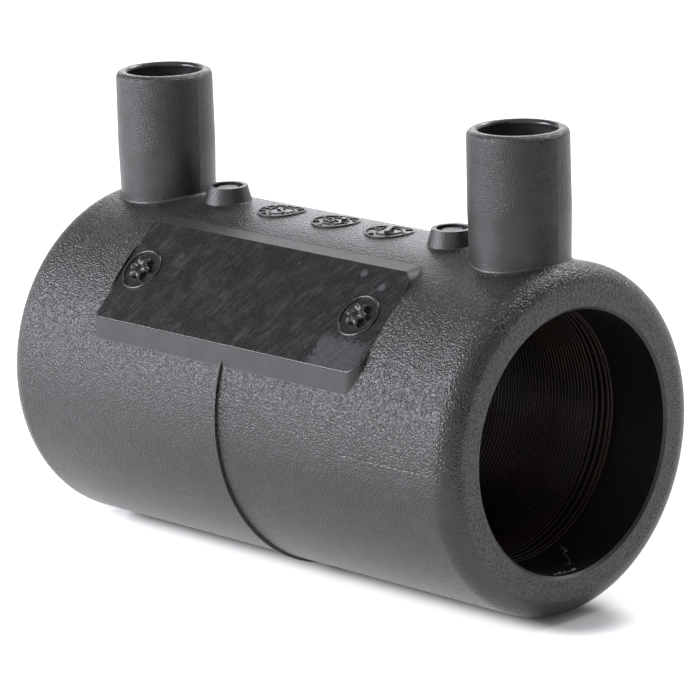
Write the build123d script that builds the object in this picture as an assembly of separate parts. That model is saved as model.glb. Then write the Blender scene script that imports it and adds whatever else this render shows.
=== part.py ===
from build123d import *

import math
import os

# Electrofusion coupler for one size of plastic pipe, in millimetres.
# X runs along the pipe, the terminals point up +Z, and the label pad faces the front, -Y.
# The origin is on the pipe's centre line, half way between the two ends.

# Tube
pipe_diameter = 32.0
pipe_clearance = 0.4
wall = 5.45
body_length = 79.0
end_round = 3.0
mouth_chamfer = 0.3

# Terminals: standard 4 mm pins, each in a round shroud that tapers both ways from the mould's parting height
terminal_spacing = 62.4
shroud_diameter = 12.54
shroud_rim_diameter = 12.4
shroud_foot_diameter = 12.24
shroud_parting_above_tube = 5.85
shroud_bore = 9.5
shroud_stand = 15.75
shroud_depth = 12.0
rim_round_outside = 0.85
rim_round_inside = 0.5
pin_diameter = 4.0
pin_tip_below_rim = 3.2
pin_tip_chamfer = 0.6
pin_collar_diameter = 6.0
pin_collar_height = 1.0
pin_anchor_diameter = 5.2
pin_anchor_height = 2.4
pin_foot_above_bore = 1.2

# Fusion indicators, one beside each shroud on the side towards the middle
indicator_from_terminal = 11.3
indicator_height = 2.0
indicator_foot_round = 0.25
indicator_top_diameter = 5.1
indicator_foot_diameter = 6.2
indicator_groove_outside = 3.9
indicator_groove_inside = 2.6
indicator_groove_depth = 1.5
indicator_plug_below_rim = 0.25

# Label pad: a flat tilted face with an almost level top side and an upright front side
pad_length = 46.7
pad_tilt = 44.4
pad_sink = 0.25
pad_above_middle = 7.1
pad_below_middle = 7.6
pad_draft = 2.0
pad_top_slope = 5.0
pad_reach_inside = 6.0
pad_right_round = 2.0
pad_left_round = 0.6
pad_edge_round = 0.2

# Marks left on the pad by the two screws of the mould's plate
screw_mark_places = (-20.1, 18.6)
mark_ring_radius = 2.9
mark_ring_width = 0.25
mark_ring_height = 0.18
nub_core_radius = 1.2
nub_lobe_radius = 0.5
nub_lobe_count = 6
nub_height = 0.65
nub_taper = 0.2

# Fine seam round the middle, from the pad's front side under the tube and as far up the back
seam_foot_width = 0.34
seam_top_width = 0.16
seam_height = 0.35
seam_from = 66.0
seam_to = 294.0

# Heating wire, wound on the bore's wall in two zones with a plain zone between them
wire_proud = 0.2
wire_width = 0.34
wire_margin = 0.02
lead_turns = 3
lead_turn_pitch = 0.85
winding_inner_end = 4.5
lead_diameter = 0.5
link_angle = 130.0

# Sizes that follow from those above
bore_radius = (pipe_diameter + pipe_clearance) / 2
body_radius = bore_radius + wall
terminal_place = terminal_spacing / 2
indicator_place = terminal_place - indicator_from_terminal
pad_face_from_axis = body_radius - pad_sink
pin_radius = pin_diameter / 2
shroud_top = body_radius + shroud_stand
shroud_parting = body_radius + shroud_parting_above_tube
shroud_floor = shroud_top - shroud_depth
pin_tip = shroud_top - pin_tip_below_rim
pin_foot = bore_radius + pin_foot_above_bore
wire_inside = bore_radius - wire_proud
winding_outer_end = terminal_place - lead_turns * lead_turn_pitch
cut_past = 1.0
foot_search = 0.3


def upright(radius, low, high, x=0.0):
    """A round post with its axis along Z."""
    return Pos(x, 0, low) * Cylinder(radius, high - low, align=(Align.CENTER, Align.CENTER, Align.MIN))


def along_pipe(radius, start, end):
    """A round bar on the pipe's centre line."""
    middle = (start + end) / 2
    return Pos(middle, 0, 0) * Rot(0, 90, 0) * Cylinder(radius, end - start)


def turned(solid):
    """The same thing at the other end, turned half a turn about Z."""
    return Rot(0, 0, 180) * solid


def tube():
    outside = along_pipe(body_radius, -body_length / 2, body_length / 2)
    return fillet(outside.edges().filter_by(GeomType.CIRCLE), end_round)


def through_bore():
    half = body_length / 2
    mouth_radius = bore_radius + mouth_chamfer
    outline = Polyline(
        (0, 0),
        (half + cut_past, 0),
        (half + cut_past, mouth_radius),
        (half, mouth_radius),
        (half - mouth_chamfer, bore_radius),
        (0, bore_radius),
        close=True,
    )
    right = revolve(make_face(Plane.XZ * outline), Axis.X)
    return right + turned(right)


def shroud(x):
    """A terminal's shroud without its hole, rooted in the tube's wall."""
    outline = Polyline(
        (0, pin_foot),
        (shroud_foot_diameter / 2, pin_foot),
        (shroud_foot_diameter / 2, body_radius),
        (shroud_diameter / 2, shroud_parting),
        (shroud_rim_diameter / 2, shroud_top),
        (0, shroud_top),
        close=True,
    )
    post = revolve(make_face(Plane.XZ * outline), Axis.Z)
    rim = post.edges().group_by(Axis.Z)[-1]
    return Pos(x, 0, 0) * fillet(rim, rim_round_outside)


def round_the_foot(body, x):
    """Rounds the corner where the indicator at x meets the tube."""
    reach = indicator_foot_diameter / 2 + foot_search
    low = body_radius - reach
    found = body.edges().filter_by(GeomType.LINE, reverse=True)
    found = found.filter_by_position(Axis.X, x - reach, x + reach)
    found = found.filter_by_position(Axis.Y, -reach, reach)
    found = found.filter_by_position(Axis.Z, low, body_radius + foot_search)
    return fillet(found, indicator_foot_round)


def shroud_hole(x):
    """The hole that the plug goes into, with a rounded mouth."""
    radius = shroud_bore / 2
    mouth = radius + rim_round_inside
    lip_start = shroud_top - rim_round_inside
    outline = Polyline((0, shroud_floor), (radius, shroud_floor), (radius, lip_start))
    lip = RadiusArc((radius, lip_start), (mouth, shroud_top), rim_round_inside)
    above = shroud_top + cut_past
    over = Polyline((mouth, shroud_top), (mouth, above), (0, above), (0, shroud_floor))
    face = make_face(Plane.XZ * (outline + lip + over))
    return Pos(x, 0, 0) * revolve(face, Axis.Z)


def indicator(x):
    """A boss with a plug inside a ring groove: the plug rises as the joint melts."""
    top = body_radius + indicator_height
    root = body_radius - indicator_height
    slope = (indicator_foot_diameter - indicator_top_diameter) / 2 / indicator_height
    root_radius = indicator_foot_diameter / 2 + slope * indicator_height
    height = top - root
    boss = Pos(x, 0, root + height / 2) * Cone(root_radius, indicator_top_diameter / 2, height)
    groove = upright(indicator_groove_outside / 2, top - indicator_groove_depth, top + cut_past, x)
    plug = upright(
        indicator_groove_inside / 2,
        top - indicator_groove_depth - cut_past,
        top - indicator_plug_below_rim,
        x,
    )
    return boss, groove, plug


def pad_point(up_the_face, out=0.0):
    """A point of the pad's section in (Y, Z), by its place up the tilted face."""
    tilt = math.radians(pad_tilt)
    reach = pad_face_from_axis + out
    y = -reach * math.sin(tilt) + up_the_face * math.cos(tilt)
    z = reach * math.cos(tilt) + up_the_face * math.sin(tilt)
    return y, z


def pad_block():
    top_y, top_z = pad_point(pad_above_middle)
    low_y, low_z = pad_point(-pad_below_middle)
    rise = pad_reach_inside * math.tan(math.radians(pad_top_slope))
    spread = pad_reach_inside * math.tan(math.radians(pad_draft))
    section = Polyline(
        (top_y + pad_reach_inside, top_z + rise),
        (top_y, top_z),
        (low_y, low_z),
        (low_y - spread, low_z - pad_reach_inside),
        (top_y + pad_reach_inside, low_z - pad_reach_inside),
        close=True,
    )
    block = extrude(make_face(Plane.YZ * section), pad_length / 2, both=True)
    for side, radius in ((-1, pad_right_round), (0, pad_left_round)):
        end = block.edges().group_by(Axis.X)[side]
        block = fillet([end.sort_by(Axis.Z)[-1], end.sort_by(Axis.Y)[0]], radius)
    tilt = math.radians(pad_tilt)
    outwards = Vector(0, -math.sin(tilt), math.cos(tilt))
    face = max(block.faces().filter_by(GeomType.PLANE), key=lambda side: side.normal_at().dot(outwards))
    return fillet(face.edges(), pad_edge_round)


def pad_clearance():
    """What stands out past the pad's face in the middle, where the tube bulges through."""
    section = Polyline(
        pad_point(-pad_below_middle),
        pad_point(pad_above_middle),
        pad_point(pad_above_middle, cut_past),
        pad_point(-pad_below_middle, cut_past),
        close=True,
    )
    return extrude(make_face(Plane.YZ * section), pad_length / 2, both=True)


def screw_mark(x):
    """A thin raised ring round a raised six-lobed nub, standing on the pad's face."""
    tilt = math.radians(pad_tilt)
    out = (0, -math.sin(tilt), math.cos(tilt))
    middle_y, middle_z = pad_point(0)
    place = Plane(origin=(x, middle_y, middle_z), x_dir=(1, 0, 0), z_dir=out)
    on_face = (Align.CENTER, Align.CENTER, Align.CENTER)
    ring = Cylinder(mark_ring_radius, 2 * mark_ring_height, align=on_face)
    ring -= Cylinder(mark_ring_radius - mark_ring_width, 2 * mark_ring_height + cut_past, align=on_face)
    foot = Pos(0, 0, nub_height / 2)
    nub = foot * Cone(nub_core_radius, nub_core_radius - nub_taper, nub_height)
    for lobe in range(nub_lobe_count):
        turn = Rot(0, 0, lobe * 360 / nub_lobe_count)
        post = Cone(nub_lobe_radius, nub_lobe_radius - nub_taper, nub_height)
        nub += turn * Pos(nub_core_radius, 0, 0) * foot * post
    return place * ring, place * nub


def seam():
    """The fine fin where two parts of the mould met, running most of the way round."""
    foot, top = seam_foot_width / 2, seam_top_width / 2
    low, high = body_radius - seam_height, body_radius + seam_height
    section = Polyline((-foot, low), (foot, low), (top, high), (-top, high), close=True)
    ring = revolve(make_face(Plane.XZ * section), Axis.X, seam_to - seam_from)
    return Rot(seam_from, 0, 0) * ring


def terminal_pin(x):
    """A turned pin: tip, collar on the shroud's floor, and an anchor inside the wall."""
    shank = upright(pin_radius, pin_foot, pin_tip, x)
    shank = chamfer(shank.edges().group_by(Axis.Z)[-1], pin_tip_chamfer)
    collar = upright(pin_collar_diameter / 2, shroud_floor - pin_collar_height, shroud_floor, x)
    anchor_low = (pin_foot + shroud_floor - pin_collar_height - pin_anchor_height) / 2
    anchor = upright(pin_anchor_diameter / 2, anchor_low, anchor_low + pin_anchor_height, x)
    return shank + collar + anchor


def winding_band():
    """The close turns of one zone, as one thin sleeve on the bore's wall."""
    outside = along_pipe(bore_radius, winding_inner_end, winding_outer_end)
    inside = along_pipe(wire_inside, winding_inner_end - cut_past, winding_outer_end + cut_past)
    return outside - inside


def lead_coil():
    """The spread turns between the band and the terminal."""
    middle = bore_radius - wire_proud / 2
    path = Helix(lead_turn_pitch, lead_turns * lead_turn_pitch, middle)
    across = Plane(origin=path @ 0, x_dir=(1, 0, 0), z_dir=path % 0)
    section = across * Rectangle(wire_proud - 2 * wire_margin, wire_width)
    coil = sweep(section, path, is_frenet=True)
    return Plane(origin=(terminal_place, 0, 0), x_dir=(0, 0, 1), z_dir=(-1, 0, 0)) * coil


def lead():
    """The end of the wire, up through the wall to the foot of the pin."""
    return upright(lead_diameter / 2, bore_radius - wire_proud + wire_margin, pin_foot, terminal_place)


def link():
    """The wire's straight run across the plain middle zone."""
    middle = bore_radius - wire_proud / 2
    reach = 2 * winding_inner_end + wire_width
    bar = Pos(0, 0, middle) * Box(reach, wire_width, wire_proud - 2 * wire_margin)
    return Rot(link_angle, 0, 0) * bar


def heating_wire():
    half = winding_band() + lead_coil() + lead()
    return half + turned(half) + link()


def coupler_body():
    body = tube() + pad_block() - pad_clearance()
    body += seam()
    for x in screw_mark_places:
        ring, nub = screw_mark(x)
        body += ring + nub
    for side in (-1, 1):
        boss, groove, plug = indicator(side * indicator_place)
        body += shroud(side * terminal_place) + boss
        body = round_the_foot(body, side * indicator_place)
        body = body - groove + plug
    body -= through_bore()
    for side in (-1, 1):
        x = side * terminal_place
        body = body - shroud_hole(x) - terminal_pin(x)
    lead_hole = lead()
    return body - lead_hole - turned(lead_hole)


def save(name, shape):
    export_step(shape, f"parts/{name}.step")
    print(name, len(shape.solids()), "solid,", round(shape.volume), "mm3")


os.makedirs("parts", exist_ok=True)
save("coupler_body", coupler_body())
save("terminal_pin_left", terminal_pin(-terminal_place))
save("terminal_pin_right", terminal_pin(terminal_place))
save("heating_wire", heating_wire())
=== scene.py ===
import math
import random

import bmesh
import bpy
from mathutils import Matrix, Vector


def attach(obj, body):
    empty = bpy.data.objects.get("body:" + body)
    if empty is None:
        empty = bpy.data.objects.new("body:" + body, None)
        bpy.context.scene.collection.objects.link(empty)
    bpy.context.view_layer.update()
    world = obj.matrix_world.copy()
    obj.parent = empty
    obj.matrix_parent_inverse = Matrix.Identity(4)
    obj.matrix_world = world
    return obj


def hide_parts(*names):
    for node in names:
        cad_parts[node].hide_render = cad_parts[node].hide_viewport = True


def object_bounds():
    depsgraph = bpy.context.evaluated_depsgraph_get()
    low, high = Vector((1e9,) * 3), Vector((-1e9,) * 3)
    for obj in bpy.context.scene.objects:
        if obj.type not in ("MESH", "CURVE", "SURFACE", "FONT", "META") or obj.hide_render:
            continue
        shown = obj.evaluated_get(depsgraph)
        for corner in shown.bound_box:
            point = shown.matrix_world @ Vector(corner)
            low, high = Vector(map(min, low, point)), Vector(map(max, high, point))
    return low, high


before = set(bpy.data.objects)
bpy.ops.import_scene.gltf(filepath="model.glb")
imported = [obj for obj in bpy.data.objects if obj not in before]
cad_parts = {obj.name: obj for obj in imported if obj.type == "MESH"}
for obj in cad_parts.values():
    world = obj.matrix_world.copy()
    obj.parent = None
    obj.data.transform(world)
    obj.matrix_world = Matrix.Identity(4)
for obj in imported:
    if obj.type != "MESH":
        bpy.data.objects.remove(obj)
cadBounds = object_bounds()
mm = 0.001
print("frame loaded:", ", ".join(sorted(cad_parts)))

# the coupler's own sizes in millimetres and degrees, as its parts are made
coupler = {
    "bodyRadius": 21.65,
    "boreRadius": 16.2,
    "halfLength": 39.5,
    "endRound": 3.0,
    "terminalPlace": 31.2,
    "shroudRadius": 6.3,
    "shroudBore": 4.75,
    "indicatorPlace": 19.9,
    "indicatorRadius": 3.1,
    "padTilt": 44.4,
    "padFace": 21.4,
    "padHalfLength": 23.35,
}
sinTilt = math.sin(math.radians(coupler["padTilt"]))
cosTilt = math.cos(math.radians(coupler["padTilt"]))


# small helpers for node trees

def addNode(tree, kind, sockets=None, **settings):
    node = tree.nodes.new(kind)
    for name, value in settings.items():
        setattr(node, name, value)
    for name, value in (sockets or {}).items():
        if isinstance(value, bpy.types.NodeSocket):
            tree.links.new(value, node.inputs[name])
        else:
            node.inputs[name].default_value = value
    return node


def calc(tree, operation, *values):
    sockets = {index: value for index, value in enumerate(values)}
    return addNode(tree, "ShaderNodeMath", sockets, operation=operation).outputs[0]


def total(tree, *values):
    out = values[0]
    for value in values[1:]:
        out = calc(tree, "ADD", out, value)
    return out


def product(tree, *values):
    out = values[0]
    for value in values[1:]:
        out = calc(tree, "MULTIPLY", out, value)
    return out


def ramp(tree, value, fromValue, toValue, low=0.0, high=1.0):
    sockets = {
        "Value": value, "From Min": fromValue, "From Max": toValue, "To Min": low, "To Max": high,
    }
    node = addNode(tree, "ShaderNodeMapRange", sockets, interpolation_type="SMOOTHSTEP")
    return node.outputs["Result"]


def above(tree, value, edge, soft=0.05):
    return ramp(tree, value, edge - soft, edge + soft)


def below(tree, value, edge, soft=0.05):
    return ramp(tree, value, edge + soft, edge - soft)


def invert(tree, value):
    return calc(tree, "SUBTRACT", 1.0, value)


def noise(tree, place, scale, detail):
    sockets = {"Vector": place, "Scale": scale, "Detail": detail}
    return addNode(tree, "ShaderNodeTexNoise", sockets).outputs["Fac"]


def split(tree, place):
    return addNode(tree, "ShaderNodeSeparateXYZ", {0: place}).outputs


def combine(tree, **parts):
    return addNode(tree, "ShaderNodeCombineXYZ", parts).outputs[0]


def lengthOf(tree, **parts):
    sockets = {0: combine(tree, **parts)}
    return addNode(tree, "ShaderNodeVectorMath", sockets, operation="LENGTH").outputs["Value"]


def scaled(tree, place, factor):
    sockets = {0: place, "Scale": factor}
    return addNode(tree, "ShaderNodeVectorMath", sockets, operation="SCALE").outputs[0]


def addInputs(tree, inputs):
    for label, kind, default in inputs:
        socket = tree.interface.new_socket(label, in_out="INPUT", socket_type=kind)
        if default is not None:
            socket.default_value = default


def newGroup(name, inputs, outputs):
    group = bpy.data.node_groups.new(name, "ShaderNodeTree")
    addInputs(group, inputs)
    for label, kind in outputs:
        group.interface.new_socket(label, in_out="OUTPUT", socket_type=kind)
    start = group.nodes.new("NodeGroupInput")
    end = group.nodes.new("NodeGroupOutput")
    return group, start.outputs, end.inputs


def useGroup(tree, group, position, values=None):
    sockets = dict(values or {}, Position=position)
    return addNode(tree, "ShaderNodeGroup", sockets, node_tree=group).outputs


number = "NodeSocketFloat"
vector = "NodeSocketVector"
whole = "NodeSocketInt"


# shared surface effects, all in millimetres

grainShape = {
    "pebbles": 1.25,  # how much finer the pebbles are than the domes
    "domeReach": 0.8,
    "domeShare": 0.45,
    "valleyFrom": 0.72,
    "valleyTo": 0.48,
}


def makeGrainGroup():
    # moulded leather grain: rounded cells of mixed size with narrow valleys between them
    shape = grainShape
    inputs = [("Position", vector, None), ("Cell", number, 0.45), ("Depth", number, 0.03)]
    outputs = [("Height", number), ("Valley", number)]
    group, start, end = newGroup("mouldedGrain", inputs, outputs)
    scale = calc(group, "DIVIDE", 1.0, start["Cell"])
    cells = addNode(
        group, "ShaderNodeTexVoronoi",
        {"Vector": start["Position"], "Scale": scale, "Randomness": 1.0},
    )
    pebbleScale = calc(group, "MULTIPLY", scale, shape["pebbles"])
    pebbles = noise(group, start["Position"], pebbleScale, 1.0)
    dome = ramp(group, cells.outputs["Distance"], shape["domeReach"], 0.0)
    mixed = total(group, product(group, dome, shape["domeShare"]), pebbles)
    group.links.new(product(group, mixed, start["Depth"]), end["Height"])
    group.links.new(ramp(group, mixed, shape["valleyFrom"], shape["valleyTo"]), end["Valley"])
    return group


scratchShape = {
    "axis": (0.0, -0.6997, 0.7145),  # the pad's normal
    "stretch": 0.05,  # the smaller it is, the longer the scratches are
    "lineEdge": 0.72,
    "lineGain": 0.2,
    "lineSoft": 0.06,
    "runs": 0.4,
    "runFrom": 0.35,
    "runTo": 0.6,
}


def makeScratchGroup():
    # fine straight rubbing marks, broken into short runs, turned about the pad's normal
    shape = scratchShape
    inputs = [
        ("Position", vector, None), ("Turn", number, 0.6),
        ("Spacing", number, 0.25), ("Amount", number, 0.3),
    ]
    group, start, end = newGroup("rubbingMarks", inputs, [("Mask", number)])
    turned = addNode(
        group, "ShaderNodeVectorRotate",
        {"Vector": start["Position"], "Angle": start["Turn"], "Axis": shape["axis"]},
        rotation_type="AXIS_ANGLE",
    )
    stretched = addNode(
        group, "ShaderNodeVectorMath", {0: turned.outputs[0], 1: (shape["stretch"], 1.0, 1.0)},
        operation="MULTIPLY",
    )
    scale = calc(group, "DIVIDE", 1.0, start["Spacing"])
    lines = noise(group, stretched.outputs[0], scale, 3.0)
    runs = noise(group, start["Position"], shape["runs"], 2.0)
    gain = product(group, start["Amount"], shape["lineGain"])
    edge = calc(group, "SUBTRACT", shape["lineEdge"], gain)
    high = calc(group, "ADD", edge, shape["lineSoft"])
    cut = addNode(
        group, "ShaderNodeMapRange", {"Value": lines, "From Min": edge, "From Max": high}
    )
    broken = ramp(group, runs, shape["runFrom"], shape["runTo"])
    group.links.new(product(group, cut.outputs["Result"], broken), end["Mask"])
    return group


def makeSpeckGroup():
    # sparse pale specks of dust and lint
    inputs = [
        ("Position", vector, None), ("Spacing", number, 2.5),
        ("Size", number, 0.05), ("Share", number, 0.2),
    ]
    group, start, end = newGroup("dustSpecks", inputs, [("Mask", number)])
    scale = calc(group, "DIVIDE", 1.0, start["Spacing"])
    cells = addNode(
        group, "ShaderNodeTexVoronoi", {"Vector": start["Position"], "Scale": scale}
    )
    size = calc(group, "DIVIDE", start["Size"], start["Spacing"])
    near = calc(group, "LESS_THAN", cells.outputs["Distance"], size)
    pick = addNode(group, "ShaderNodeSeparateColor", {"Color": cells.outputs["Color"]})
    chosen = calc(group, "LESS_THAN", pick.outputs["Red"], start["Share"])
    group.links.new(product(group, near, chosen), end["Mask"])
    return group


# where one finish of the mould gives way to the next
finishEdges = {
    "padFront": -5.5,
    "padLow": 5.8,
    "crest": coupler["boreRadius"] + 2.0,  # every fitting on top stands higher than this
    "parting": 27.5,
    "partingSoft": 1.2,
    "rim": 36.6,
    "rimSoft": 0.5,
    "sharp": 0.03,
}


def makeRegionGroup():
    # where each finish of the mould lies; the small numbers are margins past each edge
    edges = finishEdges
    sharp = edges["sharp"]
    names = (
        "Pad Face", "Pad Side", "Shroud", "Shroud Polish", "Shroud Rim",
        "Socket", "Indicator", "Bore", "End Face", "Dial",
    )
    outputs = [(name, number) for name in names]
    group, start, end = newGroup("mouldRegions", [("Position", vector, None)], outputs)
    parts = split(group, start["Position"])
    x, y, z = parts["X"], parts["Y"], parts["Z"]
    acrossX = calc(group, "ABSOLUTE", x)
    radius = lengthOf(group, Y=y, Z=z)
    out = total(group, product(group, z, cosTilt), product(group, y, -sinTilt))

    def fromPost(across, place):
        return lengthOf(group, X=calc(group, "SUBTRACT", across, place), Y=y)

    onPadLength = below(group, acrossX, coupler["padHalfLength"] + 0.12)
    onFront = below(group, y, edges["padFront"])
    high = above(group, z, edges["crest"])
    face = product(
        group, above(group, out, coupler["padFace"] - 0.06, sharp), onPadLength, onFront
    )
    outside = above(group, radius, coupler["bodyRadius"] + 0.05, sharp)
    aboveLow = above(group, z, edges["padLow"])
    side = product(group, outside, onPadLength, onFront, aboveLow, invert(group, face))
    postDistance = fromPost(acrossX, coupler["terminalPlace"])
    onShroud = below(group, postDistance, coupler["shroudRadius"] + 0.04, sharp)
    shroud = product(group, onShroud, high)
    polish = product(group, shroud, below(group, z, edges["parting"], edges["partingSoft"]))
    rim = product(group, shroud, above(group, z, edges["rim"], edges["rimSoft"]))
    inShroud = below(group, postDistance, coupler["shroudBore"] + 0.3, 0.2)
    socket = product(group, inShroud, high)
    indicatorDistance = fromPost(acrossX, coupler["indicatorPlace"])
    indicator = product(
        group, below(group, indicatorDistance, coupler["indicatorRadius"] + 0.05),
        above(group, radius, coupler["bodyRadius"] + 0.06, sharp), high,
    )
    bore = below(group, radius, coupler["boreRadius"] + 0.35)
    atEnd = above(group, acrossX, coupler["halfLength"] - 0.08, 0.06)
    endFace = product(group, atEnd, invert(group, bore))
    dial = 0.0
    for place in dateDials["places"]:
        onDial = below(group, fromPost(x, place), dateDials["radius"] + 0.1)
        dial = calc(group, "MAXIMUM", dial, onDial)
    dial = product(group, dial, high)
    values = (face, side, shroud, polish, rim, socket, indicator, bore, endFace, dial)
    for name, value in zip(names, values):
        group.links.new(value, end[name])
    return group


# the black moulded plastic

bodyFinish = {
    "colour": (0.017, 0.0175, 0.0185, 1.0),
    "worn": (0.078, 0.081, 0.086, 1.0),
    # painted shade: the plastic inside the bore is coloured darker than outside, for the shade
    # that falls in the bore
    "boreShade": (0.0056, 0.0046, 0.0041, 1.0),
    # painted shade: the pad's face is coloured darker than the rest, for the darker surroundings
    # it reflects
    "padShade": (0.011, 0.0112, 0.0118, 1.0),
    "dustColour": (0.62, 0.62, 0.60, 1.0),
    "coarse": {"Cell": 0.29, "Depth": 0.135},
    "fine": {"Cell": 0.17, "Depth": 0.08},
    "dust": {"Spacing": 2.2, "Size": 0.06, "Share": 0.12},
    "dustShare": 0.8,
    "reliefFrom": -5.0,
    "reliefTo": 4.0,
    "lowRelief": 0.6,
    "endFaceGrain": 0.9,
    "polishGrain": 0.35,
    "indicatorGrain": 0.5,
    "waves": 0.05,
    "waveScale": 0.5,
    "mottleScale": 0.35,
    "mottleEdges": (0.4, 0.75),
    "mottleWear": 0.22,
    "valleyWear": -0.15,
    "endFaceWear": (1.3, 0.1),  # on the grain's tops and in its valleys
    "refraction": 1.52,
}

roughness = {
    "grained": 0.27,
    "smooth": 0.33,
    "rim": 0.2,
    "padSide": 0.46,
    "padFace": (0.2, 0.29),
    "endFace": 0.42,
    "bore": 0.35,
    "mottle": 0.08,
}

# marks that handling left on the pad, in millimetres across and up its face
padMark = {
    "scuff": 0.62,
    "scuffFrom": 15.0,
    "scuffTo": 22.6,
    "scuffTop": -3.4,
    "scuffSoft": 0.5,
    "ragged": 3.0,
    "raggedScale": 1.7,
    "dot": 0.8,
    "dots": ((15.5, 5.8, 0.0), (19.5, 4.4, 0.0)),
    "dotRadius": 0.5,
    "dotSoft": 0.15,
    "dotRagged": 0.08,
    "scratches": {"Turn": -1.1, "Spacing": 0.15, "Amount": 0.9},
    "scratchDepth": -0.012,
    "scratchWear": 0.4,
    "speckleScale": 2.2,
    "speckleEdges": (0.3, 0.7),
    "speckleDepth": 0.008,
}


def mixColour(tree, factor, first, second):
    sockets = {"Factor": factor, 6: first, 7: second}
    return addNode(tree, "ShaderNodeMix", sockets, data_type="RGBA").outputs[2]


def mixValue(tree, factor, first, second):
    sockets = {"Factor": factor, 2: first, 3: second}
    return addNode(tree, "ShaderNodeMix", sockets, data_type="FLOAT").outputs[0]


def bareMaterial(name):
    material = bpy.data.materials.new(name)
    material.use_nodes = True
    tree = material.node_tree
    tree.nodes.clear()
    return material, tree, tree.nodes.new("ShaderNodeOutputMaterial").inputs["Surface"]


def newMaterial(name):
    material, tree, surface = bareMaterial(name)
    place = addNode(tree, "ShaderNodeTexCoord").outputs["Object"]
    position = scaled(tree, place, 1 / mm)
    shader = tree.nodes.new("ShaderNodeBsdfPrincipled")
    tree.links.new(shader.outputs[0], surface)
    return material, tree, position, shader


def bumpFrom(tree, height, shader):
    bump = addNode(tree, "ShaderNodeBump", {"Height": height, "Strength": 1.0, "Distance": mm})
    tree.links.new(bump.outputs[0], shader.inputs["Normal"])


def padScuff(tree, faceMask, x, up, edge):
    # a pale rubbed patch near the pad's lower right corner
    acrossEdge = total(tree, x, edge)
    soft = padMark["scuffSoft"]
    return product(
        tree, faceMask,
        above(tree, acrossEdge, padMark["scuffFrom"], soft),
        below(tree, acrossEdge, padMark["scuffTo"], soft),
        below(tree, total(tree, up, edge), padMark["scuffTop"], soft),
        padMark["scuff"],
    )


def padDots(tree, faceMask, onPad, edge):
    # small pale spots near the pad's upper right corner
    dots = 0.0
    for place in padMark["dots"]:
        sockets = {0: onPad, 1: place}
        gap = addNode(tree, "ShaderNodeVectorMath", sockets, operation="DISTANCE")
        away = total(tree, gap.outputs["Value"], product(tree, edge, padMark["dotRagged"]))
        dot = below(tree, away, padMark["dotRadius"], padMark["dotSoft"])
        dots = calc(tree, "MAXIMUM", dots, dot)
    return product(tree, dots, faceMask, padMark["dot"])


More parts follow.
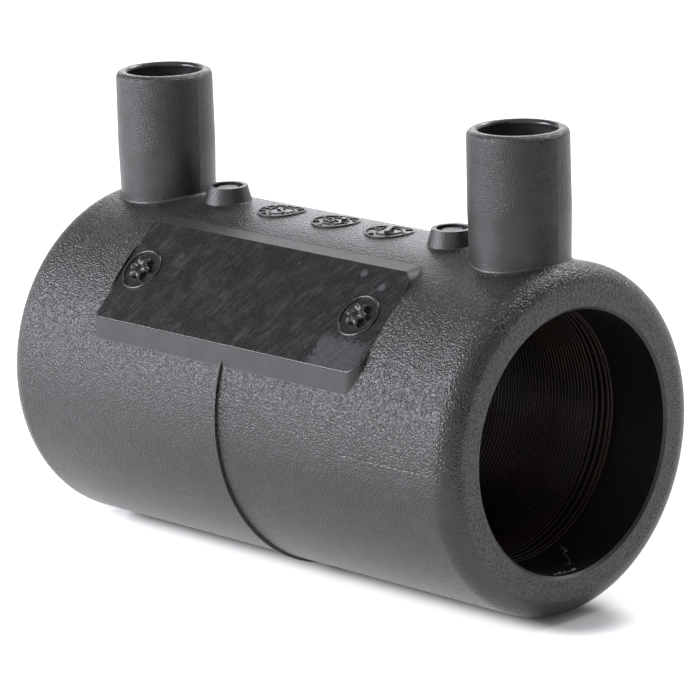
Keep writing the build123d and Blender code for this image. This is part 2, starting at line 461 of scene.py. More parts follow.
def makeBodyPlastic(groups):
    material, tree, position, shader = newMaterial("bodyPlastic")
    finish = bodyFinish
    region = useGroup(tree, groups["region"], position)
    coarse = useGroup(tree, groups["grain"], position, finish["coarse"])
    fine = useGroup(tree, groups["grain"], position, finish["fine"])
    padFace, endFace = region["Pad Face"], region["End Face"]
    smooth = padFace
    for name in ("Pad Side", "Shroud", "Indicator", "Bore", "End Face", "Dial"):
        smooth = calc(tree, "MAXIMUM", smooth, region[name])
    parts = split(tree, position)
    # the grain is shallower on the lower half of the mould
    relief = ramp(
        tree, parts["Z"], finish["reliefFrom"], finish["reliefTo"], finish["lowRelief"], 1.0
    )
    onEndFace = product(tree, endFace, finish["endFaceGrain"])
    coarseShare = total(tree, product(tree, invert(tree, smooth), relief), onEndFace)
    unpolished = invert(tree, region["Shroud Polish"])
    fineShare = total(
        tree,
        product(tree, region["Shroud"], unpolished, invert(tree, region["Socket"])),
        product(tree, region["Shroud Polish"], finish["polishGrain"]),
        onEndFace,
        product(tree, region["Indicator"], finish["indicatorGrain"]),
    )
    waves = noise(tree, position, finish["waveScale"], 3.0)
    scratches = useGroup(tree, groups["scratch"], position, padMark["scratches"])
    padScratches = product(tree, scratches["Mask"], padFace)
    upPad = total(tree, product(tree, parts["Y"], cosTilt), product(tree, parts["Z"], sinTilt))
    onPad = combine(tree, X=parts["X"], Y=upPad)
    ragged = noise(tree, onPad, padMark["raggedScale"], 3.0)
    wander = calc(tree, "SUBTRACT", ragged, 0.5)
    edge = product(tree, wander, padMark["ragged"])
    speckle = noise(tree, onPad, padMark["speckleScale"], 6.0)
    bumpFrom(tree, total(
        tree,
        product(tree, coarse["Height"], coarseShare),
        product(tree, fine["Height"], fineShare),
        product(tree, waves, finish["waves"]),
        product(tree, padScratches, padMark["scratchDepth"]),
        product(tree, speckle, padFace, padMark["speckleDepth"]),
    ), shader)
    mottle = noise(tree, position, finish["mottleScale"], 4.0)
    offPad = invert(tree, padFace)
    worn = ramp(tree, mottle, *finish["mottleEdges"])
    wear = total(
        tree,
        product(tree, worn, finish["mottleWear"], offPad),
        product(tree, coarse["Valley"], coarseShare, finish["valleyWear"]),
        product(tree, padScratches, padMark["scratchWear"]),
        product(tree, endFace, ramp(tree, coarse["Valley"], 0.0, 1.0, *finish["endFaceWear"])),
        padScuff(tree, padFace, parts["X"], upPad, edge),
        padDots(tree, padFace, onPad, edge),
    )
    # the pad's face takes its painted shade
    colour = mixColour(tree, padFace, finish["colour"], finish["padShade"])
    colour = mixColour(tree, wear, colour, finish["worn"])
    # the bore takes its painted shade
    colour = mixColour(tree, region["Bore"], colour, finish["boreShade"])
    specks = useGroup(tree, groups["speck"], position, finish["dust"])
    outsideBore = invert(tree, region["Bore"])
    dust = product(tree, specks["Mask"], outsideBore, finish["dustShare"])
    colour = mixColour(tree, dust, colour, finish["dustColour"])
    tree.links.new(colour, shader.inputs["Base Color"])
    faceRough = ramp(tree, speckle, *padMark["speckleEdges"], *roughness["padFace"])
    rough = mixValue(tree, smooth, roughness["grained"], roughness["smooth"])
    for name, value in (
        ("Shroud Rim", roughness["rim"]),
        ("Pad Side", roughness["padSide"]),
        ("Pad Face", faceRough),
        ("End Face", roughness["endFace"]),
        ("Bore", roughness["bore"]),
    ):
        rough = mixValue(tree, region[name], rough, value)
    rough = total(tree, rough, product(tree, mottle, roughness["mottle"]))
    tree.links.new(rough, shader.inputs["Roughness"])
    shader.inputs["IOR"].default_value = finish["refraction"]
    return material


# making and placing pieces

def inScene(name, data):
    item = bpy.data.objects.new(name, data)
    bpy.context.scene.collection.objects.link(item)
    return item


def plainMesh(holder):
    # the mesh of an object as its modifier or its curve leaves it
    depsgraph = bpy.context.evaluated_depsgraph_get()
    return bpy.data.meshes.new_from_object(holder.evaluated_get(depsgraph))


def bakeTree(name, tree, values):
    # runs a geometry tree on an empty mesh and keeps the result as a plain mesh
    holder = inScene(name + "Maker", bpy.data.meshes.new(name + "Maker"))
    modifier = holder.modifiers.new("shape", "NODES")
    modifier.node_group = tree
    for item in tree.interface.items_tree:
        if item.item_type == "SOCKET" and item.in_out == "INPUT" and item.name in values:
            modifier[item.identifier] = values[item.name]
    mesh = plainMesh(holder)
    mesh.name = name
    holder.modifiers.remove(modifier)
    bpy.data.objects.remove(holder)
    return mesh


def addPiece(name, mesh, smooth=True):
    piece = inScene(name, mesh)
    for face in mesh.polygons:
        face.use_smooth = smooth
    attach(piece, "root")
    return piece


def plasticPiece(name, work, material, smooth=True):
    bmesh.ops.recalc_face_normals(work, faces=work.faces)
    mesh = bpy.data.meshes.new(name)
    work.to_mesh(mesh)
    work.free()
    mesh.materials.append(material)
    return addPiece(name, mesh, smooth)


def skinRows(work, rows):
    # joins closed rows of points, one after another and the last to the first
    for row, following in zip(rows, rows[1:] + rows[:1]):
        for corner in range(len(row)):
            other = (corner + 1) % len(row)
            work.faces.new((row[corner], following[corner], following[other], row[other]))


def newGeometryTree(name, inputs):
    tree = bpy.data.node_groups.new(name, "GeometryNodeTree")
    addInputs(tree, inputs + [("Material", "NodeSocketMaterial", None)])
    tree.interface.new_socket(
        "Geometry", in_out="OUTPUT", socket_type="NodeSocketGeometry"
    )
    start = tree.nodes.new("NodeGroupInput")
    end = tree.nodes.new("NodeGroupOutput")
    return tree, start.outputs, end.inputs


def closeTree(tree, geometry, material, end):
    real = addNode(tree, "GeometryNodeRealizeInstances", {0: geometry}).outputs[0]
    sockets = {"Geometry": real, "Material": material}
    painted = addNode(tree, "GeometryNodeSetMaterial", sockets)
    tree.links.new(painted.outputs[0], end["Geometry"])


# heating wire: one fine helix in two dense zones, spread towards each terminal

heatingWinding = {
    "Coil Radius": 16.195,
    "Wire Radius": 0.21,
    "Turns per Side": 46.0,
    "Points per Turn": 80.0,
    "Pitch": 0.557,
    "Dense Place": 27.5,
    "Dense Turn": 4.25,
    "Spread": 1.1,
    "Spread from Turn": 0.9,
    "Foot": 0.23,
    "Foot Turns": 0.15,
    "Link Pitch": 6.3,
    "Link Soft": 0.2,
    "Terminal Place": coupler["terminalPlace"],
    "Lead Radius": 0.25,
    "Lead Top": 17.4,
}


def addWire(tree, path, radius, sides):
    sockets = {"Resolution": sides, "Radius": product(tree, radius, mm)}
    ring = addNode(tree, "GeometryNodeCurvePrimitiveCircle", sockets).outputs[0]
    sockets = {"Curve": path, "Profile Curve": ring, "Fill Caps": True}
    return addNode(tree, "GeometryNodeCurveToMesh", sockets).outputs[0]


def makeWindingTree():
    inputs = [(label, number, value) for label, value in heatingWinding.items()]
    tree, start, end = newGeometryTree("windingTree", inputs)
    perTurn = start["Points per Turn"]
    sideTurns = start["Turns per Side"]
    count = calc(tree, "ADD", product(tree, sideTurns, 2.0, perTurn), 1.0)
    line = addNode(tree, "GeometryNodeMeshLine", {"Count": count}, mode="OFFSET")
    index = tree.nodes.new("GeometryNodeInputIndex").outputs[0]
    turn = calc(tree, "DIVIDE", index, perTurn)
    fromMiddle = calc(tree, "SUBTRACT", sideTurns, turn)
    side = calc(tree, "SIGN", fromMiddle)
    left = calc(tree, "ABSOLUTE", fromMiddle)
    fromEnd = calc(tree, "SUBTRACT", sideTurns, left)
    past = calc(tree, "SUBTRACT", fromEnd, start["Dense Turn"])
    dense = calc(tree, "SUBTRACT", start["Dense Place"], product(tree, past, start["Pitch"]))
    spread = ramp(
        tree, fromEnd, start["Spread from Turn"], start["Dense Turn"], start["Spread"], 0.0
    )
    foot = ramp(tree, fromEnd, 0.0, start["Foot Turns"], start["Foot"], 0.0)
    link = product(tree, left, start["Link Pitch"])
    wound = total(tree, dense, spread, foot)
    away = calc(tree, "SMOOTH_MIN", wound, link, start["Link Soft"])
    angle = product(tree, turn, 2 * math.pi)
    y = product(tree, calc(tree, "SINE", angle), start["Coil Radius"])
    z = product(tree, calc(tree, "COSINE", angle), start["Coil Radius"])
    place = scaled(tree, combine(tree, X=product(tree, side, away), Y=y, Z=z), mm)
    sockets = {"Geometry": line.outputs[0], "Position": place}
    moved = addNode(tree, "GeometryNodeSetPosition", sockets)
    path = addNode(tree, "GeometryNodeMeshToCurve", {0: moved.outputs[0]}).outputs[0]
    join = tree.nodes.new("GeometryNodeJoinGeometry")
    tree.links.new(addWire(tree, path, start["Wire Radius"], 8), join.inputs[0])
    for sign in (-1.0, 1.0):
        across = product(tree, start["Terminal Place"], sign * mm)
        low = combine(tree, X=across, Z=product(tree, start["Coil Radius"], mm))
        high = combine(tree, X=across, Z=product(tree, start["Lead Top"], mm))
        sockets = {"Start": low, "End": high}
        lead = addNode(tree, "GeometryNodeCurvePrimitiveLine", sockets).outputs[0]
        tree.links.new(addWire(tree, lead, start["Lead Radius"], 12), join.inputs[0])
    closeTree(tree, join.outputs[0], start["Material"], end)
    return tree


# date dials: raised rings, numbers and pointers on the crest

dateDials = {
    "places": (-10.05, -0.3, 9.1),
    "radius": 3.1,
    "rimWidth": 0.22,
    "height": 0.16,
    "sunk": 0.15,
    "draft": 0.03,
    "innerRing": 1.72,
    "innerWidth": 0.14,
    "innerShare": 0.8,  # of the outer ring's height
    "numberRing": 2.42,
    "numberHeight": 0.78,
    "segments": 64,
    "shapes": {
        "shaft": ((-0.16, -1.35), (0.16, -1.35), (0.16, 0.35), (-0.16, 0.35)),
        "head": ((-0.55, 0.3), (0.55, 0.3), (0.0, 1.35)),
        "slot": ((-0.5, -0.3), (0.5, -0.3), (0.5, 0.3), (-0.5, 0.3)),
        "bar": ((-0.3, -1.6), (0.3, -1.6), (0.3, 1.3), (-0.3, 1.3)),
    },
    # blocks: shape, turn, place, top and draft; texts: digits, height, turn and place
    "plans": (
        {
            "name": "dateDialLeft", "numbers": 12, "turn": 0.6,
            "blocks": (
                ("shaft", 1.0, (0.0, 0.0), 0.16, 0.03), ("head", 1.0, (0.0, 0.0), 0.192, 0.03),
            ),
            "texts": (),
        },
        {
            "name": "dateDialMiddle", "numbers": 8, "turn": 2.2,
            "blocks": (("slot", -0.9, (0.75, 0.7), 0.42, 0.03),),
            "texts": (("25", 1.25, -0.35, (-0.55, -0.35)),),
        },
        {
            "name": "dateDialRight", "numbers": 6, "turn": 2.15,
            "blocks": (
                ("bar", 0.55, (0.0, 0.0), 0.5, 0.08), ("head", 0.55, (-0.25, 0.2), 0.4, 0.03),
            ),
            "texts": (),
        },
    ),
}


def addRing(work, radius, width, low, high):
    inset, segments = dateDials["draft"], dateDials["segments"]
    inner = radius - width
    corners = ((radius, low), (radius - inset, high), (inner + inset, high), (inner, low))
    rows = []
    for index in range(segments):
        angle = 2 * math.pi * index / segments
        rows.append([
            work.verts.new((r * math.cos(angle), r * math.sin(angle), h)) for r, h in corners
        ])
    skinRows(work, rows)


def addPrism(work, outline, low, high, inset):
    # a closed block over an outline, a little smaller at the top, as it would leave the mould
    middle = sum((Vector(p) for p in outline), Vector((0.0, 0.0))) / len(outline)
    foot, top = [], []
    for point in outline:
        away = Vector(point) - middle
        shrunk = middle + away * max(0.0, 1 - inset / max(away.length, inset))
        foot.append(work.verts.new((point[0], point[1], low)))
        top.append(work.verts.new((shrunk.x, shrunk.y, high)))
    work.faces.new(top)
    work.faces.new(list(reversed(foot)))
    count = len(outline)
    for index in range(count):
        other = (index + 1) % count
        work.faces.new((foot[index], foot[other], top[other], top[index]))


def turnedOutline(outline, angle, place):
    cos, sin = math.cos(angle), math.sin(angle)
    return [(place[0] + u * cos - v * sin, place[1] + u * sin + v * cos) for u, v in outline]


def addText(work, text, height, angle, place, low, high):
    curve = bpy.data.curves.new("digits", "FONT")
    curve.body = text
    curve.size = height / 0.7  # the height of a digit is 0.7 of the font's size
    curve.align_x = "CENTER"
    curve.align_y = "CENTER"
    curve.resolution_u = 2
    curve.extrude = (high - low) / 2
    curve.offset = 0.012  # thickens the strokes
    holder = inScene("digits", curve)
    mesh = plainMesh(holder)
    bpy.data.objects.remove(holder)
    turn = Matrix.Rotation(angle, 4, "Z")
    mesh.transform(Matrix.Translation((place[0], place[1], (low + high) / 2)) @ turn)
    work.from_mesh(mesh)
    bpy.data.meshes.remove(mesh)


def wrapOnCrest(work, across):
    # bends a flat relief round the tube, and turns millimetres into metres
    radius = coupler["bodyRadius"]
    for vert in work.verts:
        u, v, h = vert.co
        angle, reach = v / radius, radius + h
        vert.co = Vector((across + u, reach * math.sin(angle), reach * math.cos(angle))) * mm


def makeDial(plan, across, material):
    dial = dateDials
    work = bmesh.new()
    low, high = -dial["sunk"], dial["height"]
    addRing(work, dial["radius"], dial["rimWidth"], low, high)
    addRing(work, dial["innerRing"], dial["innerWidth"], low, dial["innerShare"] * high)
    ring = dial["numberRing"]
    for index in range(plan["numbers"]):
        angle = plan["turn"] + 2 * math.pi * index / plan["numbers"]
        place = (ring * math.cos(angle), ring * math.sin(angle))
        turn = angle - math.pi / 2
        addText(work, str(index + 1), dial["numberHeight"], turn, place, low, high)
    for shape, turn, place, top, inset in plan["blocks"]:
        addPrism(work, turnedOutline(dial["shapes"][shape], turn, place), low, top, inset)
    for text, height, turn, place in plan["texts"]:
        addText(work, text, height, turn, place, low, high)
    wrapOnCrest(work, across)
    return plasticPiece(plan["name"], work, material, smooth=False)


# foot beads: the small flash where each shroud's mould met the tube's

footBead = {
    "radius": 6.12,
    "width": 0.42,
    "height": 0.34,
    "sunk": 0.12,
    "segments": 96,
    "steps": 6,
}


def tubeHeight(x, y):
    # height of the tube's outside over a point, its rounded end included
    radius = coupler["bodyRadius"]
    past = abs(x) - (coupler["halfLength"] - coupler["endRound"])
    if past > 0:
        drop = math.sqrt(max(coupler["endRound"] ** 2 - past ** 2, 0))
        radius += drop - coupler["endRound"]
    return math.sqrt(max(radius ** 2 - y ** 2, 0))


def makeFootBead(name, across, material):
    bead = footBead
    # the bead's section, as distances out from the shroud's middle and up from the tube
    section = []
    for step in range(bead["steps"] + 1):
        bend = math.pi / 2 * step / bead["steps"]
        out = bead["width"] * (1 - math.sin(bend))
        section.append((bead["radius"] + out, bead["height"] * (1 - math.cos(bend))))
    section.append((bead["radius"] - bead["sunk"], bead["height"]))
    section.append((bead["radius"] - bead["sunk"], -bead["sunk"]))
    section.append((bead["radius"] + bead["width"], -bead["sunk"]))
    work = bmesh.new()
    rows = []
    for index in range(bead["segments"]):
        angle = 2 * math.pi * index / bead["segments"]
        row = []
        for r, up in section:
            x, y = across + r * math.cos(angle), r * math.sin(angle)
            row.append(work.verts.new(Vector((x, y, tubeHeight(x, y) + up)) * mm))
        rows.append(row)
    skinRows(work, rows)
    return plasticPiece(name, work, material)


# screw marks: a rounded bead and a bright lobed crown over each mark on the pad

screwMark = {
    "places": (("screwMarkLeft", -20.1), ("screwMarkRight", 18.6)),
    "beadRadius": 2.78,
    "beadHalfWidth": 0.2,
    "beadHeight": 0.27,
    "beadSides": 10,
    "lobes": 6,
    "lobeMiddle": 1.49,
    "lobeReach": 0.28,
    "crownFoot": 0.67,
    "crownRise": 0.2,
    "rimShare": 0.6,
    "rimWidth": 0.2,
    "lobeRise": 0.35,
    "wallShare": 0.86,
    "wallFoot": -0.05,
    "sunk": 0.2,
    "rings": 19,
    "segments": 96,
}


def onPadFace(x, u, v, w):
    # a point by its place across, up and out from the pad's face
    reach = coupler["padFace"] + w
    y = -reach * sinTilt + v * cosTilt
    z = reach * cosTilt + v * sinTilt
    return Vector((x + u, y, z)) * mm


def crownHeight(share, angle):
    # a shallow dish inside a rounded rim, which drops away at the lobed outline
    mark = screwMark
    if share > mark["wallShare"]:
        fall = (share - mark["wallShare"]) / (1 - mark["wallShare"])
        wall = mark["crownFoot"] * math.sqrt(max(1 - fall ** 2, 0))
        return wall + mark["wallFoot"] * fall
    rim = math.exp(-((share - mark["rimShare"]) / mark["rimWidth"]) ** 2)
    lobes = math.cos(mark["lobes"] * angle) * share ** 2
    return mark["crownFoot"] + mark["crownRise"] * rim * (1 + mark["lobeRise"] * lobes)


def makeScrewMark(name, x, material):
    mark = screwMark
    count = mark["segments"]
    work = bmesh.new()

    def addPoint(r, angle, height):
        return work.verts.new(onPadFace(x, r * math.cos(angle), r * math.sin(angle), height))

    rings = [[] for _ in range(mark["rings"])]
    beads = []
    for index in range(count):
        angle = 2 * math.pi * index / count
        outline = mark["lobeMiddle"] + mark["lobeReach"] * math.cos(mark["lobes"] * angle)
        for step, ring in enumerate(rings):
            share = (step + 1) / len(rings)
            ring.append(addPoint(share * outline, angle, crownHeight(share, angle)))
        bead = []
        for step in range(mark["beadSides"]):
            bend = 2 * math.pi * step / mark["beadSides"]
            r = mark["beadRadius"] + mark["beadHalfWidth"] * math.cos(bend)
            bead.append(addPoint(r, angle, mark["beadHeight"] * math.sin(bend)))
        beads.append(bead)
    middle = addPoint(0, 0, mark["crownFoot"])
    foot = addPoint(0, 0, -mark["sunk"])
    for index in range(count):
        other = (index + 1) % count
        work.faces.new((middle, rings[0][index], rings[0][other]))
        for inner, outer in zip(rings, rings[1:]):
            work.faces.new((inner[index], outer[index], outer[other], inner[other]))
        work.faces.new((foot, rings[-1][other], rings[-1][index]))
    skinRows(work, beads)
    return plasticPiece(name, work, material)


# witness line: broken flash where two faces of the mould met

witnessLine = {
    "Start": 20.9,
    "End": 36.4,
    "Start Height": 0.0,
    "End Height": 0.05,
    "Pieces": 56,
    "Length": 0.24,
    "Width": 0.07,
    "Stand": 0.06,
    "Smallest": (0.25, 0.35, 0.6),
    "Largest": (1.3, 1.0, 1.2),
    "Share": 0.8,
    "Tube Radius": coupler["bodyRadius"],
    "Seed": 4,
}


def makeWitnessTree():
    kinds = {"Pieces": whole, "Seed": whole, "Smallest": vector, "Largest": vector}
    inputs = [(label, kinds.get(label, number), value) for label, value in witnessLine.items()]
    tree, start, end = newGeometryTree("witnessTree", inputs)
    front = product(tree, start["Tube Radius"], -1.0)

    def placeAt(name):
        return scaled(tree, combine(tree, X=start[name], Y=front, Z=start[name + " Height"]), mm)

    sockets = {"Start": placeAt("Start"), "End": placeAt("End")}
    line = addNode(tree, "GeometryNodeCurvePrimitiveLine", sockets).outputs[0]
    sockets = {"Curve": line, "Count": start["Pieces"]}
    spots = addNode(tree, "GeometryNodeCurveToPoints", sockets, mode="COUNT").outputs[0]
    sizes = combine(
        tree,
        X=product(tree, start["Length"], mm),
        Y=product(tree, start["Stand"], 2 * mm),
        Z=product(tree, start["Width"], mm),
    )
    ridge = addNode(tree, "GeometryNodeMeshCube", {"Size": sizes}).outputs[0]
    seed = start["Seed"]
    sockets = {"Min": start["Smallest"], "Max": start["Largest"], "Seed": seed}
    grow = addNode(tree, "FunctionNodeRandomValue", sockets, data_type="FLOAT_VECTOR")
    sockets = {"Probability": start["Share"], "Seed": seed}
    pick = addNode(tree, "FunctionNodeRandomValue", sockets, data_type="BOOLEAN")
    scattered = addNode(tree, "GeometryNodeInstanceOnPoints", {
        "Points": spots, "Instance": ridge, "Scale": grow.outputs[0],
        "Selection": pick.outputs[3],
    }).outputs[0]
    closeTree(tree, scattered, start["Material"], end)
    return tree


# swarf: fine shavings and a curled fibre left in the mouth of the bore

swarf = {
    "thickness": 0.028,
    "clear": 0.02,
    "fibre": (
        (31.9, 71.2), (32.6, 73.4), (33.9, 73.0), (33.4, 76.0),
        (35.0, 78.0), (36.9, 83.6), (36.2, 85.0),
    ),
    "burrs": 16,
    "burrLength": 0.42,
    "burrScale": (0.4, 1.3),
    "burrFrom": 86.0,
    "burrTo": 107.0,
    "burrInset": 1.1,
    "middle": {"reach": 0.5, "sway": 1.5, "rise": 0.3},
    "tip": {"reach": (0.2, 1.0), "sway": 2.5, "rise": 0.2},
    "seed": 11,
}


def onBore(x, degreesFromBack, lift):
    # a point on the bore's wall, by its angle down from the back, +Y
    angle = math.radians(degreesFromBack)
    radius = coupler["boreRadius"] - lift
    return Vector((x, radius * math.cos(angle), -radius * math.sin(angle)))


def addStrand(curve, points):
    spline = curve.splines.new("NURBS")
    spline.points.add(len(points) - 1)
    for knot, point in zip(spline.points, points):
        knot.co = (*(point * mm), 1.0)
    spline.order_u = 3
    spline.use_endpoint_u = True
    spline.resolution_u = 4


def makeSwarf(material):
    chance = random.Random(swarf["seed"])
    curve = bpy.data.curves.new("swarf", "CURVE")
    curve.dimensions = "3D"
    curve.bevel_depth = swarf["thickness"] * mm
    curve.bevel_resolution = 1
    curve.use_fill_caps = True
    lift = swarf["thickness"] + swarf["clear"]
    addStrand(curve, [onBore(x, angle, lift) for x, angle in swarf["fibre"]])
    edge = coupler["halfLength"] - swarf["burrInset"]
    middle, tip = swarf["middle"], swarf["tip"]
    for _ in range(swarf["burrs"]):
        angle = chance.uniform(swarf["burrFrom"], swarf["burrTo"])
        reach = swarf["burrLength"] * chance.uniform(*swarf["burrScale"])
        points = [onBore(edge, angle, lift)]
        sway = chance.uniform(-middle["sway"], middle["sway"])
        points.append(onBore(
            edge - reach * middle["reach"], angle + sway, lift + reach * middle["rise"]
        ))
        out = reach * chance.uniform(*tip["reach"])
        sway = chance.uniform(-tip["sway"], tip["sway"])
        points.append(onBore(edge - out, angle + sway, lift + reach * tip["rise"]))
        addStrand(curve, points)
    holder = inScene("swarfMaker", curve)
    mesh = plainMesh(holder)
    bpy.data.objects.remove(holder)
    mesh.name = "swarf"
    mesh.materials.clear()
    mesh.materials.append(material)
    return addPiece("swarf", mesh)


# metal, polished and swarf finishes

wireFinish = {
    "dull": (0.011, 0.005, 0.003, 1.0),
    "colour": (0.024, 0.010, 0.006, 1.0),
    "dullRough": 0.32,
    "rough": 0.24,
    "patches": 0.16,
    "patchEdges": (0.35, 0.65),
    "metallic": 0.2,
    "specular": 0.24,
    "fineScale": 14.0,
    "fineDepth": 0.006,
}
pinFinish = {
    "colour": (0.72, 0.52, 0.24, 1.0),
    "dull": (0.30, 0.20, 0.09, 1.0),
    "rough": 0.24,
    "dullRough": 0.5,
    "tarnish": 0.9,
    "tarnishEdges": (0.38, 0.7),
    "turningPitch": 0.12,
    "turningDepth": 0.0022,
}
polishedFinish = {
    "ripples": 1.6,
    "rippleEdges": (0.3, 0.7),
    "rippleDepth": 0.06,
    "rough": (0.1, 0.2),
    "refraction": 1.54,
}
swarfFinish = {
    "shade": (0.12, 0.12, 0.12, 1.0),
    "colour": (0.50, 0.50, 0.49, 1.0),
    "shadeRough": 0.3,
    "rough": 0.5,
    "patches": 1.6,
    "patchEdges": (0.4, 0.6),
}


def makeWireMetal():
    finish = wireFinish
    material, tree, position, shader = newMaterial("windingWire")
    patches = noise(tree, position, finish["patches"], 4.0)
    film = ramp(tree, patches, *finish["patchEdges"])
    colour = mixColour(tree, film, finish["dull"], finish["colour"])
    tree.links.new(colour, shader.inputs["Base Color"])
    rough = mixValue(tree, film, finish["dullRough"], finish["rough"])
    tree.links.new(rough, shader.inputs["Roughness"])
    shader.inputs["Metallic"].default_value = finish["metallic"]
    shader.inputs["Specular IOR Level"].default_value = finish["specular"]
    fine = noise(tree, position, finish["fineScale"], 2.0)
    bumpFrom(tree, product(tree, fine, finish["fineDepth"]), shader)
    return material


def makePinMetal():
    finish = pinFinish
    material, tree, position, shader = newMaterial("pinBrass")
    parts = split(tree, position)
    acrossX = calc(tree, "ABSOLUTE", parts["X"])
    fromX = calc(tree, "SUBTRACT", acrossX, coupler["terminalPlace"])
    # fine rings from the turning tool, round the pin and over its tip
    along = total(tree, lengthOf(tree, X=fromX, Y=parts["Y"]), parts["Z"])
    rings = calc(tree, "SINE", product(tree, along, 2 * math.pi / finish["turningPitch"]))
    clouds = noise(tree, position, finish["tarnish"], 5.0)
    tarnish = ramp(tree, clouds, *finish["tarnishEdges"])
    colour = mixColour(tree, tarnish, finish["colour"], finish["dull"])
    tree.links.new(colour, shader.inputs["Base Color"])
    rough = mixValue(tree, tarnish, finish["rough"], finish["dullRough"])
    tree.links.new(rough, shader.inputs["Roughness"])
    shader.inputs["Metallic"].default_value = 1.0
    bumpFrom(tree, product(tree, rings, finish["turningDepth"]), shader)
    return material


def makePolishedPlastic():
    # the same plastic where the steel of the mould was polished: glossy, with a faint ripple
    finish = polishedFinish
    material, tree, position, shader = newMaterial("polishedPlastic")
    ripple = noise(tree, position, finish["ripples"], 3.0)
    # the screw marks take the pad's painted shade, rippled with the body's colour
    colour = mixColour(tree, ripple, bodyFinish["padShade"], bodyFinish["colour"])
    tree.links.new(colour, shader.inputs["Base Color"])
    rough = ramp(tree, ripple, *finish["rippleEdges"], *finish["rough"])
    tree.links.new(rough, shader.inputs["Roughness"])
    shader.inputs["IOR"].default_value = finish["refraction"]
    bumpFrom(tree, product(tree, ripple, finish["rippleDepth"]), shader)
    return material


def makeSwarfPlastic():
    finish = swarfFinish
    material, tree, position, shader = newMaterial("swarfPlastic")
    patches = noise(tree, position, finish["patches"], 3.0)
    share = ramp(tree, patches, *finish["patchEdges"])
    colour = mixColour(tree, share, finish["shade"], finish["colour"])
    tree.links.new(colour, shader.inputs["Base Color"])
    rough = mixValue(tree, share, finish["shadeRough"], finish["rough"])
    tree.links.new(rough, shader.inputs["Roughness"])
    return material


# camera, floor and light

view = {
    "aim": (-0.15, 1.62, 4.81),
    "azimuth": 45.87,
    "elevation": 14.26,
    "roll": -1.736,
    "distance": 544.5,
    "lens": 223.17,
    "sensor": 36.0,
}


def direction(azimuth, elevation):
    # points away from the origin: azimuth 0 is the coupler's front, -Y, and 90 its right end
    across, up = math.radians(azimuth), math.radians(elevation)
    return Vector((
        math.sin(across) * math.cos(up), -math.cos(across) * math.cos(up), math.sin(up)
    ))


def makeCamera():
    back = direction(view["azimuth"], view["elevation"])
    right = Vector((0.0, 0.0, 1.0)).cross(back).normalized()
    up = back.cross(right)
    roll = Matrix.Rotation(math.radians(view["roll"]), 3, "Z")
    turn = Matrix((right, up, back)).transposed() @ roll
    data = bpy.data.cameras.new("camera")
    data.lens = view["lens"]
    data.sensor_width = view["sensor"]
    data.clip_start = 0.01  # metres, as the next
    data.clip_end = 20.0
    camera = inScene("camera", data)
    place = (Vector(view["aim"]) + back * view["distance"]) * mm
    camera.matrix_world = Matrix.Translation(place) @ turn.to_4x4()
    bpy.context.scene.camera = camera


# azimuth, elevation, distance, width and height, radiance
lamps = {
    "frontLeft": (-37, 24, 0.6, 0.42, 0.19, 16.0),
    "frontLow": (-30, 3, 0.6, 0.36, 0.07, 8.5),
    "back": (180, 43, 0.8, 0.36, 0.3, 11.0),
    "far": (228, 15, 0.9, 0.4, 0.26, 2.8),
}
lampColour = (0.96, 0.99, 1.04)


def makeLamps():
    for name, (azimuth, elevation, distance, wide, high, radiance) in lamps.items():
        back = direction(azimuth, elevation)
        data = bpy.data.lights.new(name, "AREA")
        data.shape = "RECTANGLE"
        data.size = wide
        data.size_y = high
        data.color = lampColour
        data.energy = radiance * math.pi * wide * high  # watts
        lamp = inScene(name, data)
        lamp.location = back * distance
        lamp.rotation_euler = back.to_track_quat("Z", "Y").to_euler()
        lamp.visible_camera = False


# dark cards that only the coupler's reflections show, as on a product table:
# azimuth, elevation, distance, width, height, shade
darkCards = {
    "rightCard": (96, 8, 0.15, 0.14, 0.2, 0.1),
    "leftCard": (-78, 47, 0.3, 0.26, 0.22, 0.12),
}


def makeDarkCards():
    for name, (azimuth, elevation, distance, width, height, shade) in darkCards.items():
        back = direction(azimuth, elevation)
        turn = back.to_track_quat("Z", "Y").to_matrix()
        wide, high = width / 2, height / 2
        work = bmesh.new()
        corners = ((-wide, -high, 0), (wide, -high, 0), (wide, high, 0), (-wide, high, 0))
        work.faces.new([
            work.verts.new(back * distance + turn @ Vector(corner)) for corner in corners
        ])
        mesh = bpy.data.meshes.new(name)
        work.to_mesh(mesh)
        work.free()
        panel = inScene(name, mesh)
        material, tree, surface = bareMaterial(name)
        paint = addNode(tree, "ShaderNodeEmission", {"Strength": shade})
        tree.links.new(paint.outputs[0], surface)
        mesh.materials.append(material)
        panel.visible_camera = False
        panel.visible_diffuse = False
        panel.visible_shadow = False


floorFinish = {
    "radius": 3.0,
    "segments": 96,
    "colour": (0.9, 0.9, 0.9, 1.0),
    "lift": 0.55,
    "shadowFrom": 0.003,
    "shadowTo": 0.0085,
}
worldLight = {"strength": 0.3, "colour": (1.0, 1.0, 1.0, 1.0)}


def seenShare(tree):
    # 1 for what is seen, straight, in a reflection or through glass, and 0 for other light
    path = addNode(tree, "ShaderNodeLightPath").outputs
    seen = calc(tree, "MAXIMUM", path["Is Camera Ray"], path["Is Glossy Ray"])
    return calc(tree, "MAXIMUM", seen, path["Is Transmission Ray"])


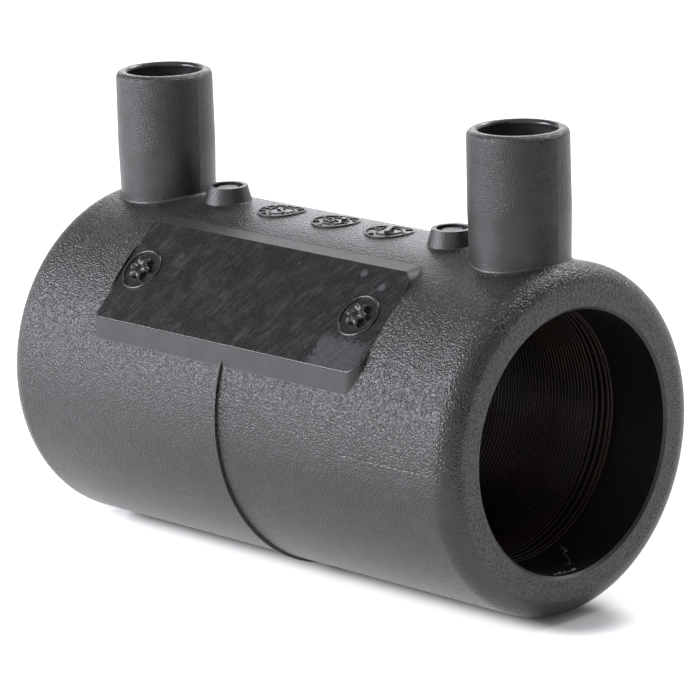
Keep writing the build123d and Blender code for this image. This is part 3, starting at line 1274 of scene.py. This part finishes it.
def makeFloor():
    mesh = bpy.data.meshes.new("floor")
    work = bmesh.new()
    sizes = {"radius": floorFinish["radius"], "segments": floorFinish["segments"]}
    bmesh.ops.create_circle(work, cap_ends=True, **sizes)
    bmesh.ops.translate(work, verts=work.verts, vec=(0, 0, cadBounds[0][2]))
    work.to_mesh(mesh)
    work.free()
    floor = inScene("floor", mesh)
    material, tree, surface = bareMaterial("floorPaint")
    paint = addNode(tree, "ShaderNodeBsdfDiffuse", {"Color": floorFinish["colour"]})
    # the lift fades out towards the line the coupler stands on, so that its shadow stays
    parts = split(tree, addNode(tree, "ShaderNodeTexCoord").outputs["Object"])
    acrossX = calc(tree, "ABSOLUTE", parts["X"])
    pastEnd = calc(tree, "SUBTRACT", acrossX, coupler["halfLength"] * mm)
    away = lengthOf(tree, X=calc(tree, "MAXIMUM", pastEnd, 0.0), Y=parts["Y"])
    lift = ramp(
        tree, away, floorFinish["shadowFrom"], floorFinish["shadowTo"], 0.0, floorFinish["lift"]
    )
    glow = addNode(
        tree, "ShaderNodeEmission", {"Strength": product(tree, seenShare(tree), lift)}
    )
    sockets = {0: paint.outputs[0], 1: glow.outputs[0]}
    both = addNode(tree, "ShaderNodeAddShader", sockets)
    tree.links.new(both.outputs[0], surface)
    mesh.materials.append(material)


def makeWorld():
    world = bpy.data.worlds.new("studio")
    world.use_nodes = True
    tree = world.node_tree
    tree.nodes.clear()
    strength = mixValue(tree, seenShare(tree), worldLight["strength"], 1.0)
    sockets = {"Color": worldLight["colour"], "Strength": strength}
    air = addNode(tree, "ShaderNodeBackground", sockets)
    output = tree.nodes.new("ShaderNodeOutputWorld")
    tree.links.new(air.outputs[0], output.inputs["Surface"])
    bpy.context.scene.world = world


bpy.context.scene.view_settings.view_transform = "Standard"
makeCamera()
makeLamps()
makeDarkCards()
makeFloor()
makeWorld()
print("camera, lamps and floor made")

groups = {
    "grain": makeGrainGroup(),
    "scratch": makeScratchGroup(),
    "speck": makeSpeckGroup(),
    "region": makeRegionGroup(),
}
bodyPlastic = makeBodyPlastic(groups)
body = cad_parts["coupler_body"]
body.data.materials.clear()
body.data.materials.append(bodyPlastic)
print("body finish made")

windingValues = dict(heatingWinding, Material=makeWireMetal())
windingMesh = bakeTree("heatingWinding", makeWindingTree(), windingValues)
winding = addPiece("heatingWinding", windingMesh)
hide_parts("heating_wire")
print("winding made:", len(windingMesh.polygons), "faces")

pinBrass = makePinMetal()
for name in ("terminal_pin_left", "terminal_pin_right"):
    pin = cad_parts[name]
    pin.data.materials.clear()
    pin.data.materials.append(pinBrass)
print("pin finish made")

for plan, across in zip(dateDials["plans"], dateDials["places"]):
    makeDial(plan, across, bodyPlastic)
for name, side in (("footBeadLeft", -1), ("footBeadRight", 1)):
    makeFootBead(name, side * coupler["terminalPlace"], bodyPlastic)
polishedPlastic = makePolishedPlastic()
for name, x in screwMark["places"]:
    makeScrewMark(name, x, polishedPlastic)
print("dials, foot beads and screw marks made")

swarfPlastic = makeSwarfPlastic()
witnessValues = dict(witnessLine, Material=swarfPlastic)
witnessMesh = bakeTree("witnessLine", makeWitnessTree(), witnessValues)
addPiece("witnessLine", witnessMesh, smooth=False)
makeSwarf(swarfPlastic)
print("witness line and swarf made")
